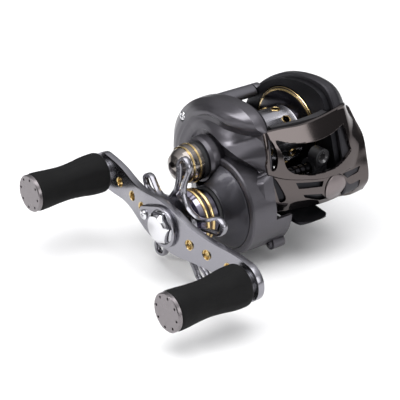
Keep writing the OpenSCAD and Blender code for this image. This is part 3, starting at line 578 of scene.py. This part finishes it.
def palm_shell(u, v):
    """Palm-side cover: outside face, rim, inner wall and the hollow behind it."""
    angle = -180 + 360 * u
    rim = look_up(palm_radius, angle)
    taper = 1 - spline(palm_taper, angle)[0]
    dish = 1.6 * max(0, math.cos(math.radians(angle - 70))) ** 2
    side = [(rim - 0.5, -15.2), (rim, -15.7), (rim, -18.4), (rim * (1 - 0.25 * taper), -21),
            (rim * (1 - 0.6 * taper), -23.2), (rim * (1 - taper), -25), (rim * (0.95 - taper), -26.1),
            (rim * (0.84 - taper), -26.6), (12, -26.6), (9.2, -26.6), (8.9, -26.3), (5.7, -26.3), (5.7, -24.9),
            (rim * (0.8 - taper), -24.8), (rim * (0.92 - taper), -23.4), (rim * (1 - 0.5 * taper) - 2, -21.4),
            (rim - 1.8 - dish, -16.4), (rim - 1.4 - dish, -15.2), (rim - 0.5, -15.2)]
    return ring_point(side, v, angle)


palm_cover = sheet("palm_side_plate", 200, 54, palm_shell, closed=True)
finish_edges(palm_cover, 0, smooth=34)
# Matte dark gunmetal paint: dark grey, with wide weak highlights.
dark_gunmetal, tree, shader = new_material("matte_dark_gunmetal_paint", "3B3A3E", 0.8, 0.4)
grain(tree, shader, 0.18, 0.005, rough=(0.36, 0.48), tint=("343337", "434246"))
fit(palm_cover, dark_gunmetal, "casing", "dark_gunmetal_paint", "palm_side_plate")

# ---- Bridge ----
# A flat matte moulding that closes the front edge of the spool well, behind the bar of the
# front cover. Glass-filled nylon, held under the cover.
# Moulded nylon: dull black-grey that mirrors nothing.
matte_bridge, tree, shader = new_material("matte_moulded_nylon", "232225", 0, 0.6)
grain(tree, shader, 0.3, 0.01, rough=(0.52, 0.68), tint=("1E1D20", "29282B"))
paint(matte_bridge, "top_bridge")

# ---- Front cover ----
# Thin moulded shell, plated in glossy black chrome: a sagging bar over the top, a window for
# the line, a lip below it, a set-back panel with slots. It wraps onto both side covers.
# Face of the cover as (z, how far forward, bow), its edges as (x, z) and its left edge as (z, x)
cover_low = -17.6
cover_keys = [(cover_low, 30, 80), (-12, 32.6, 90), (-5, 32, 110), (3, 30.2, 150), (9, 28.2, 180),
              (16.5, 25, 200)]
cover_top = [(-27, 12.6), (-24, 15.6), (-18.9, 17.1), (-13, 16.5), (-7.2, 15.8), (2.4, 15), (11.2, 15.2),
             (18.2, 14.9)]
lip_line = [(-27, -3.6), (-22, -4.6), (-15.7, -5.7), (-4.7, -5.7), (4, -4.5), (12.9, -2.6), (20.3, 0.6)]
cover_left = [(cover_low, 12.4), (-13.2, 15), (-6.3, 17.7), (0.4, 19.2), (3.7, 18.6), (9.3, 18.6), (15, 18.1),
              (17.2, 17.8)]
cover_right = -26.4
# Fronts of the covers that it laps over, as (z, y): outside the palm cover, on its rim, gear side
palm_front = [(-17.6, 28.8), (-12, 31.6), (-2.5, 29.8), (4.8, 27.2), (9.4, 22.7), (14.1, 18.4), (17, 16)]
palm_edge = [(-17.6, 29.4), (-11, 31.2), (-2.5, 29.6), (9, 26), (17.6, 22.8)]
side_front = [(-17.6, 25.6), (-9, 27.8), (0, 25.9), (10, 24.4), (18.5, 20.6)]


def cover_front(x, z):
    """How far forward the cover's outer face lies at x and z."""
    apex, bow = spline(cover_keys, z)
    front = apex - (x + 8) ** 2 / bow
    if x > 13:
        blend = min(1, (x - 13) / 4)
        front += blend * (max(front, spline(side_front, z)[0] + 0.25) - front)
    if x < -14:
        blend = min(1, (-14 - x) / 3)
        front += blend * (max(front, spline(palm_edge, z)[0] + 0.45) - front)
    if x < -18.5:
        blend = min(1, (-18.5 - x) / 7) ** 1.6
        front += blend * (spline(palm_front, z)[0] + 0.35 - front)
    return front


def cover_point(x, z, depth=0):
    """A place on the cover's face, or behind it."""
    return at(x, cover_front(x, z) - depth, z)


def cover_face(u, v):
    """Cover: panel below the lip, step, window frame and bar, and the bar's rolled top edge."""
    guess = cover_low + 34 * v
    left = spline(cover_left, guess)[0]
    x = left + (cover_right - left) * u
    lip, top = spline(lip_line, x)[0], spline(cover_top, x)[0]
    setback = 1.1 * min(1, max(0, (x + 19) / 4))
    if v <= 0.4:
        return cover_point(x, cover_low + (lip + 17.1) * v / 0.4, setback)
    if v <= 0.44:
        step = (v - 0.4) / 0.04
        return cover_point(x, lip - 0.5 + 0.7 * step, setback * (1 - step))
    if v <= 0.92:
        return cover_point(x, lip + 0.2 + (top - lip - 0.2) * (v - 0.44) / 0.48)
    roll = (v - 0.92) / 0.08
    rise = 0.35 * math.sin(math.pi * roll) - 0.3 * roll
    return cover_point(x, top) + Vector((0, -2.2 * roll, rise)) * MM


cover = sheet("front_cover", 110, 100, cover_face)
modify(cover, "SOLIDIFY", thickness=1.2 * MM, offset=-1)
clean(cover)


def window(name, outline, round_steps=8):
    """A tool that cuts an (x, z) outline through the cover along Y."""
    outline = smooth_loop(outline, round_steps) if round_steps else outline
    return extruded(name, [at(x, 15, z) for x, z in outline], (0, 30, 0))


def wall_face(u, v):
    """Wall behind the panel: up to just under the lip, and higher beside the window."""
    x, low = 15.8 - 38.4 * u, -17.2
    high = spline(lip_line, x)[0] - 0.9 + 12 * min(1, max(0, x - 14.6))
    return cover_point(x, low + (high - low) * v, 2.35)


# Outlines of its openings, as (x, z)
line_window = [(14.2, 11.6), (9.5, 10.2), (3.3, 9), (-2.5, 8.6), (-10, 9.4), (-15.6, 11), (-16.8, 10.6),
               (-18.2, 3.2), (-18.6, 1.4), (-16.6, -0.2), (-10.1, -2.8), (-0.4, -3.3), (4.6, -2.5), (9.3, -0.9),
               (11.8, 1.9), (12.6, 6.5)]
side_gap = [(17.4, 12), (16, 12), (14.9, 9), (14.6, 5), (15.6, 1.6), (17.4, 1.4), (17.8, 5.6)]
tall_gap = [(16.6, -2.6), (15, -3), (11.7, -9.6), (11.5, -12.2), (13.6, -11.9)]
slots = [[(7.6, -5.4), (-4, -7), (-3.3, -9), (6.6, -7.9)],
         [(4.8, -10.6), (-3.2, -12), (-6.6, -15.4), (-3.2, -15.1), (4, -12)],
         [(-13.6, -7), (-22.4, -6), (-21.2, -8), (-16, -9.2)],
         [(-16.9, -12.4), (-22.2, -11.4), (-22.4, -14.6), (-19.6, -16.4)]]
badge_x, badge_z, badge_r = -9.8, -11.2, 5.3
badge_turns = [a * math.tau / 64 for a in range(64)]
badge_ring = [(badge_x + badge_r * math.cos(a), badge_z + badge_r * math.sin(a)) for a in badge_turns]
openings = [window("line_window", line_window), window("side_gap", side_gap), window("tall_gap", tall_gap)]
openings += [window("sharp_gap", outline, 0) for outline in (badge_ring, *slots)]
cut(cover, merge(*openings), folded=True)
finish_edges(cover, 0.22, 2, 50, 40)
wall = sheet("frame_front_wall", 60, 20, wall_face)
modify(wall, "SOLIDIFY", thickness=0.5 * MM, offset=-1)
finish_edges(wall, 0, smooth=40)
fit(wall, black_anodised, "casing", "frame_metal")
# Black chrome: a dark brownish mirror.
black_chrome, tree, shader = new_material("black_chrome_plate", "5A5453", 1, 0.1)
grain(tree, shader, 0.5, 0.002, rough=(0.07, 0.15))
fit(cover, black_chrome, "casing", "black_chrome", "front_cover")

# ---- Badge ----
# A turned aluminium disc, pressed into a hole in the panel of the front cover. It is left
# plain, with a slight dome.


def badge_face(u, v):
    """Slightly domed disc that follows the panel."""
    a, r = math.tau * u, (badge_r - 0.12) * v
    return cover_point(badge_x + r * math.cos(a), badge_z + r * math.sin(a), 0.7 - 0.3 * (1 - v * v))


badge = sheet("badge_disc", 64, 10, badge_face, closed=True)
modify(badge, "SOLIDIFY", thickness=1 * MM, offset=-1)
finish_edges(badge, 0.12, 2, 50, 30)
# Turned aluminium: warm grey and satin, so the badge stands out from the mirror round it.
satin_badge, tree, shader = new_material("turned_satin_aluminium", "7E7676", 1, 0.34)
grain(tree, shader, 0.2, 0.004, rough=(0.3, 0.4), tint=("766E6E", "867E7E"))
fit(badge, satin_badge, "casing", "satin_badge", "badge_disc")

# ---- Thumb bar ----
# The clutch release: a rounded bar across the rear of the spool well, painted grey. A short
# fixed end of the same section fills the gap to the palm-side cover.
bar_section = smooth_loop([(-23.5, 8), (-23.8, 11), (-22.5, 12.9), (-20.2, 13.2), (-17.8, 11.8), (-17.4, 10.5),
                           (-18.6, 9.2), (-21, 7.9)], 5)
bar_end, bar_count = 13, len(bar_section)


def bar_skin(u, v):
    """Bar along X: round by u, from one closed end to the other by v."""
    spot = bar_section[int(round(u * bar_count)) % bar_count]
    middle_y, middle_z = -20.6, 10.4
    end = abs(2 * v - 1)
    x = 0.62 + bar_end * (2 * v - 1) * (1 if end < 0.98 else 0.98 / end)
    size = 1 if end < 0.98 else (1 - end) / 0.02
    return at(x, middle_y + (spot[0] - middle_y) * size, middle_z + (spot[1] - middle_z) * size)


thumb = sheet("thumb_bar", bar_count, 60, bar_skin, closed=True)
finish_edges(thumb, 0, smooth=50)
# Satin grey paint: a soft sheen, lighter than the covers.
satin_grey, tree, shader = new_material("satin_grey_paint", "5F5E63", 0.8, 0.36)
grain(tree, shader, 0.2, 0.004, rough=(0.32, 0.42), tint=("58575C", "66656A"))
fit(thumb, satin_grey, "thumb_bar", "satin_grey_bar", "thumb_bar")
stub = prism("rear_bar_stub", [tuple(spot) for spot in bar_section], -15.6, -12.7)
finish_edges(stub, 0.3, 3, 50, 40)
fit(stub, satin_grey, "casing", "dark_gunmetal_paint")

# ---- Foot ----
# An aluminium saddle, hollow underneath to sit on the rod, and screwed up into the frame.
# It has the same black anodising as the frame.
paint(black_anodised, "reel_foot")

# ---- Spool ----
# Turned aluminium: black anodised flanges dished towards the drum, a bare drum drilled with two
# rows of gold-rimmed holes, and a wide gold band round each rim.
# Gloss black anodising: near black, with sharp streaks round the flange.
spool_black, tree, shader = new_material("gloss_black_anodised_aluminium", "222127", 0.9, 0.2)
grain(tree, shader, 0.15, 0.002, rough=(0.16, 0.26), stretch=(1, 0.2, 0.2))
# Pale gold anodising: a warm bright line.
champagne_gold, tree, shader = new_material("gold_anodised_aluminium", "D6BC86", 1, 0.2)
grain(tree, shader, 0.2, 0.002, rough=(0.15, 0.26), tint=("CEB47C", "DEC490"))
# Bare turned aluminium: silver, with fine rings.
bare_drum, tree, shader = new_material("turned_bare_aluminium", "A9A8AE", 1, 0.2)
grain(tree, shader, 0.12, 0.003, rough=(0.14, 0.26), stretch=(1, 0.1, 0.1))
flange_line = [(13.4, 10.2), (13.4, 17.6), (13.1, 17.9), (12.5, 17.9), (12.2, 17.4), (11.4, 14.8), (10.9, 12.4),
               (10.8, 11.05), (10.8, 10.2)]
band_line = [(12.55, 17.98), (12.9, 18.02), (12.9, 17.6), (12.2, 16.6), (11.98, 16.7), (12.2, 17.4)]
for side_name, way in (("left", 1), ("right", -1)):
    flange = turned(f"spool_flange_{side_name}", [(way * x, r) for x, r in flange_line], spool_axis, 128)
    finish_edges(flange, 0.1, 2, 30, 30)
    fit(flange, spool_black, "spool", "black_spool", *(["spool"] if way == 1 else []))
    band = turned(f"spool_rim_band_{side_name}", [(way * x, r) for x, r in band_line], spool_axis, 128)
    finish_edges(band, 0, smooth=40)
    fit(band, champagne_gold, "spool", "champagne_gold", *(["spool_rim_rings"] if way == 1 else []))
drum_line = [(-10.95, 9.8), (-10.95, 11.3), (-10.4, 11.05), (10.4, 11.05), (10.95, 11.3), (10.95, 9.8)]
drum = turned("spool_drum", drum_line, spool_axis, 120)
web = turned("spool_web", [(-2, 0.9), (-2, 9.9), (1.4, 9.9), (1.4, 0.9)], spool_axis, 120)
cut(drum, web, operation="UNION")


def radial_disc(name, x, angle, r0, r1, radius, sides=24):
    """A round tool that points out from the spool axis at an angle."""
    out = Vector((0, math.cos(angle), math.sin(angle)))
    along = Vector((1, 0, 0))
    across = out.cross(along)
    turns = [math.tau * i / sides for i in range(sides)]
    rim = [along * radius * math.cos(t) + across * radius * math.sin(t) for t in turns]
    corners = [at(x, 0, 0) + (out * r0 + place) * MM for place in rim]
    return extruded(name, corners, out * (r1 - r0))


drum_holes = [(x, math.radians(36 * k + (18 if x > 0 else 0) - 90)) for x in (-6.4, 5.6) for k in range(10)]
rims = merge(*(radial_disc("drum_hole_rims", x, angle, 10.1, 11.3, 1.85) for x, angle in drum_holes))
bores = merge(*(radial_disc("bores", x, angle, 9, 12, 1.45) for x, angle in drum_holes))
modify(drum, "BOOLEAN", object=bores, operation="DIFFERENCE", solver="EXACT")
cut(rims, bores)
finish_edges(drum, 0, smooth=35)
finish_edges(rims, 0.1, 1, 50, 30)
fit(drum, bare_drum, "spool", "bright_steel")
fit(rims, champagne_gold, "spool", "champagne_gold")
paint(champagne_gold, "cap_ring")

# ---- Cast control, level wind and brake ----
# A chromed cap screwed on a collar, with a rubber ring behind and two gold wires round it.
# The small parts of the level wind and the brake share this section, as they stay CAD nodes.
# Rubber: black and soft, with a faint mottle.
rubber, tree, shader = new_material("moulded_rubber", "17171A", 0, 0.5)
grain(tree, shader, 0.2, 0.01, rough=(0.42, 0.6))
# Smoked chrome: a warm grey mirror.
smoked_chrome, tree, shader = new_material("smoked_chrome_plate", "8A8480", 1, 0.12)
grain(tree, shader, 0.4, 0.002, rough=(0.08, 0.18))
paint(rubber, "cap_o_ring", "dome_seal")
paint(smoked_chrome, "cast_control_cap")
paint(gunmetal_paint, "cap_collar")
# Black nylon: dark with a moulded grain.
black_nylon, tree, shader = new_material("moulded_black_nylon", "222225", 0, 0.45)
grain(tree, shader, 0.25, 0.008, rough=(0.38, 0.55), tint=("1E1E21", "29292C"))
paint(black_nylon, "line_guide", "brake_dial", "magnet_holder", "worm_bushes")
# Ceramic ring: dark grey and glassy.
ceramic, tree, shader = new_material("polished_ceramic", "4A494B", 0, 0.12, {"IOR": 1.76})
grain(tree, shader, 0.5, 0.001, rough=(0.1, 0.2))
paint(ceramic, "guide_insert")
# Blackened steel: dark, with a low shine on the threads.
black_steel, tree, shader = new_material("blackened_ground_steel", "3A393C", 1, 0.22)
grain(tree, shader, 0.3, 0.001, rough=(0.18, 0.28))
paint(black_steel, "worm_shaft")

# ---- Drag sleeve ----
# A cup over the drag spring, turned and polished from aluminium. It has a faint lilac anodise
# and two gold wires in grooves.
# Polished lilac anodising: a silver mirror with a violet cast.
lilac, tree, shader = new_material("polished_lilac_anodised_aluminium", "A9A4B4", 1, 0.14)
grain(tree, shader, 0.3, 0.002, rough=(0.1, 0.2))
paint(lilac, "drag_sleeve")
wire_line = [(-0.6, -0.5), (-0.6, -0.1), (-0.35, 0.05), (0.35, 0.05), (0.6, -0.1), (0.6, -0.5)]
wires = merge(*(turned("sleeve_rings", [(x + dx, radius + dr) for dx, dr in wire_line], main_axis, 128)
                for x, radius in ((38.8, 10.2), (41.8, 10.9))))
finish_edges(wires, 0, smooth=40)
fit(wires, champagne_gold, "handle", "champagne_gold", "sleeve_rings")

# ---- Star ----
# Five open loops bent back towards the body, forged in one with the hub. The aluminium is
# satin anodised, and it turns on the drag nut.
# Satin anodising: light grey, with bright bevels.
satin_aluminium, tree, shader = new_material("satin_anodised_aluminium", "8F8E94", 1, 0.24)
grain(tree, shader, 0.15, 0.002, rough=(0.2, 0.28), tint=("8A898F", "949399"))
# Middle line of the strip round half an arm, as (out along the arm, aside)
arm_line = [(10.8, 2.9), (12.8, 1.95), (15.4, 1.75), (18.6, 2.35), (21.3, 2.95), (23.4, 2.2)]
arm_first = 15.1
strip_w, strip_t = 1.4, 2.2


def star_point(arm, out, aside):
    """A place on one arm, as (y, z) from the main shaft."""
    angle = math.radians(arm_first + 72 * arm)
    return (out * math.cos(angle) - aside * math.sin(angle), out * math.sin(angle) + aside * math.cos(angle))


route = []
for arm in range(5):
    route += [star_point(arm, out, -aside) for out, aside in arm_line]
    route.append(star_point(arm, 24.85, 0))
    route += [star_point(arm, out, aside) for out, aside in reversed(arm_line)]
    valley = math.radians(arm_first + 72 * arm + 36)
    route.append((9.3 * math.cos(valley), 9.3 * math.sin(valley)))
strip_path = smooth_loop(route, 6)
# Cross-section of the strip, in parts of its width and thickness
section = [(-0.5, -0.32), (-0.32, -0.5), (0.32, -0.5), (0.5, -0.32), (0.5, 0.32), (0.32, 0.5), (-0.32, 0.5),
           (-0.5, 0.32)]


def star_x(radius):
    """Middle of the strip along X: flat at the hub, bent back at the tips."""
    bend = min(1, max(0, (radius - 9) / 16))
    return 47.3 - 2.1 * bend * bend * (3 - 2 * bend)


def star_strip(u, v):
    """Strip along the route by u, round its cross-section by v."""
    count = len(strip_path)
    i = int(round(u * count)) % count
    here, before, after = strip_path[i], strip_path[i - 1], strip_path[(i + 1) % count]
    run = (after - before).normalized()
    side = Vector((-run.y, run.x))
    a, b = section[int(round(v * len(section))) % len(section)]
    spot = here + side * (a * strip_w)
    return at(star_x(here.length) + b * strip_t, spot.x, spot.y, main_axis)


star = sheet("star_wheel", len(strip_path), len(section), star_strip, closed=True)
hub_line = [(45.4, 4.6), (45.4, 6.4), (46.2, 9.6), (48.2, 9.6), (48.6, 6.4), (48.6, 4.6)]
hub = turned("star_hub", hub_line, main_axis, 96)
cut(star, hub, operation="UNION")
finish_edges(star, 0, smooth=38)
fit(star, satin_aluminium, "star", "satin_aluminium", "star_wheel")

# ---- Handle arm ----
# A forged aluminium strip, cranked in at both ends, with wavy bevelled edges. Six holes
# with gold liners lighten it.
tilt = math.radians(-7.8)
knob_s = 42.8
arm_hub_x, arm_end_x, arm_t = 54, 50.6, 2.6
arm_end_r = 7.1
# Half width and outer face, both by the distance from the middle
arm_widths = [(0, 8.8), (6, 8.6), (14, 7), (22, 5.9), (28, 5.9), (36, 6.8), (knob_s, arm_end_r)]
crank = [(0, arm_hub_x), (11, arm_hub_x), (18, arm_hub_x - 1.1), (26, arm_end_x + 0.8), (32, arm_end_x),
         (50, arm_end_x)]
hole_places = (-33, -22.5, -14.4, 14.4, 22.5, 33)


def on_handle(x, s, w):
    """A place on the handle: x out, s along the arm towards the front knob, w across it."""
    return at(x, s * math.cos(tilt) - w * math.sin(tilt), s * math.sin(tilt) + w * math.cos(tilt), main_axis)


def arm_face(u, v):
    """Outer face of the arm: from end to end by u, across by v."""
    reach = knob_s + arm_end_r
    s = reach * math.sin(math.pi * (u - 0.5))
    if abs(s) > knob_s:
        half = math.sqrt(max(0, arm_end_r ** 2 - (abs(s) - knob_s) ** 2))
    else:
        half = spline(arm_widths, abs(s))[0]
    return on_handle(spline(crank, abs(s))[0], s, half * (2 * v - 1))


arm = sheet("handle_arm", 160, 12, arm_face, closed=True)
modify(arm, "SOLIDIFY", thickness=arm_t * MM, offset=-1)
cut(arm, *(disc("hole", 40, 60, 1.95, on_handle(0, s, 0), steps=32) for s in hole_places))
finish_edges(arm, 0.5, 3, 50, 30)
fit(arm, satin_aluminium, "handle", "satin_aluminium", "handle_arm")


def hole_liner(s):
    """Gold liner of one hole, with a lip on the outer face."""
    x = spline(crank, abs(s))[0] + 0.12
    back = x - arm_t - 0.2
    line = [(back, 1.6), (back, 1.94), (x - 0.3, 1.94), (x, 2.05), (x, 1.85), (x - 0.25, 1.6)]
    return turned("hole_rings", line, on_handle(0, s, 0), 48)


liners = merge(*(hole_liner(s) for s in hole_places))
finish_edges(liners, 0, smooth=30)
fit(liners, champagne_gold, "handle", "champagne_gold", "hole_rings")

# ---- Handle nut and its retainer ----
# A chromed hex nut with a round flange, screwed on the drive shaft. A teardrop plate of
# aluminium stops it turning, held by one small screw.
nut_r = 6.1
nut_line = [(54.05, 2.45), (54.05, 6.2), (54.9, 6.2), (54.95, nut_r), (56.7, nut_r), (57.8, 4.9), (57.95, 4.6),
            (57.95, 0), (57.5, 0), (57.5, 2.45)]
nut = turned("handle_nut", nut_line, main_axis, 96)
flats = prism("flats", arc(0, 0, nut_r, 12, 312, 5), 54.9, 60, main_axis)
cut(flats, disc("keep", 54, 54.95, 6.4, main_axis), operation="UNION")
cut(nut, flats, operation="INTERSECT")
finish_edges(nut, 0.15, 2, 30, 30)
fit(nut, bright_chrome, "handle", "bright_chrome", "handle_nut")
# The retainer's outline: two arcs and the tangents between them
big_r, small_r, reach = 7.9, 3.2, 10.2
turn_out = math.degrees(math.acos((big_r - small_r) / reach))
teardrop = [(s * math.cos(tilt) - w * math.sin(tilt), s * math.sin(tilt) + w * math.cos(tilt))
            for s, w in arc(0, 0, big_r, -180 + turn_out, 180 - turn_out, 36)
            + arc(-reach, 0, small_r, 180 - turn_out, 180 + turn_out, 16)]
retainer = prism("nut_retainer", teardrop, 54.05, 55.6, main_axis)
cut(retainer, disc("nut_recess", 50, 60, 6.5, main_axis))
finish_edges(retainer, 0.3, 3, 40, 30)
fit(retainer, satin_aluminium, "handle", "satin_aluminium", "nut_retainer")
retainer_screw = cross_screw("retainer_screw", 52, 55.7, 0.78, 1.9, 0, 0, on_handle(0, -10, 0))
fit(retainer_screw, bright_chrome, "handle", "chrome_screw", "retainer_screw")

# ---- Knobs ----
# Closed-cell EVA foam turned to a waist and ground flat on four sides, on a steel post, closed
# by a brushed gunmetal cap with drilled holes round its rim.
# Radius along the grip, as (x, radius), and the distance of its flats from the middle
grip_low, grip_high, waist_x, flat_r = 52.7, 83, 68, 6.15
grip_line = [(grip_low, 6.9), (53.2, 7.6), (54.4, 7.85), (59, 7.7), (64, 7.0), (69, 6.6), (74, 6.75),
             (79, 7.15), (82, 7.25), (82.7, 7.1), (grip_high, 6.7)]


def knob_grip(name, s):
    """One grip, round its post at s on the handle."""
    centre = on_handle(0, s, 0)

    def skin(u, v):
        """Side of the grip: round by u, out by v."""
        x = grip_low + (grip_high - grip_low) * v
        radius = spline(grip_line, x)[0]
        angle = math.tau * u
        flat = flat_r + 0.05 * abs(x - waist_x) ** 1.25
        nearest = abs((math.degrees(angle + tilt) + 45) % 90 - 45)
        limit = flat / math.cos(math.radians(nearest))
        radius = radius if limit > radius else 0.8 * limit + 0.2 * radius
        return at(x, radius * math.cos(angle), radius * math.sin(angle), centre)

    grip = sheet(name, 96, 60, skin, closed=True)
    pick(grip)
    bpy.ops.object.mode_set(mode="EDIT")
    bpy.ops.mesh.select_all(action="DESELECT")
    bpy.ops.mesh.select_mode(type="EDGE")
    bpy.ops.mesh.select_non_manifold()
    bpy.ops.mesh.edge_face_add()
    bpy.ops.object.mode_set(mode="OBJECT")
    clean(grip)
    modify(grip, "SMOOTH", factor=0.4, iterations=2)
    cut(grip, disc("bore", 50, 90, 1.55, centre))
    finish_edges(grip, 0, smooth=50)
    return grip


# EVA foam: black and dull, with fine open grain.
eva_foam, tree, shader = new_material("closed_cell_eva_foam", "060607", 0, 0.8, {"Specular IOR Level": 0.25})
grain(tree, shader, 0.35, 0.03, rough=(0.7, 0.88), tint=("040405", "0A0A0B"))
# Brushed gunmetal: grey, with fine scratches across the cap.
brushed_gunmetal, tree, shader = new_material("brushed_gunmetal_aluminium", "7D787A", 1, 0.3)
grain(tree, shader, 0.12, 0.006, rough=(0.22, 0.36), tint=("716C6E", "8A8587"), stretch=(1, 0.08, 1))
for side_name, s in (("front", knob_s), ("rear", -knob_s)):
    grip = knob_grip(f"knob_grip_{side_name}", s)
    fit(grip, eva_foam, f"{side_name}_knob", "eva_foam", f"knob_grip_{side_name}")
    paint(brushed_gunmetal, f"knob_cap_{side_name}")
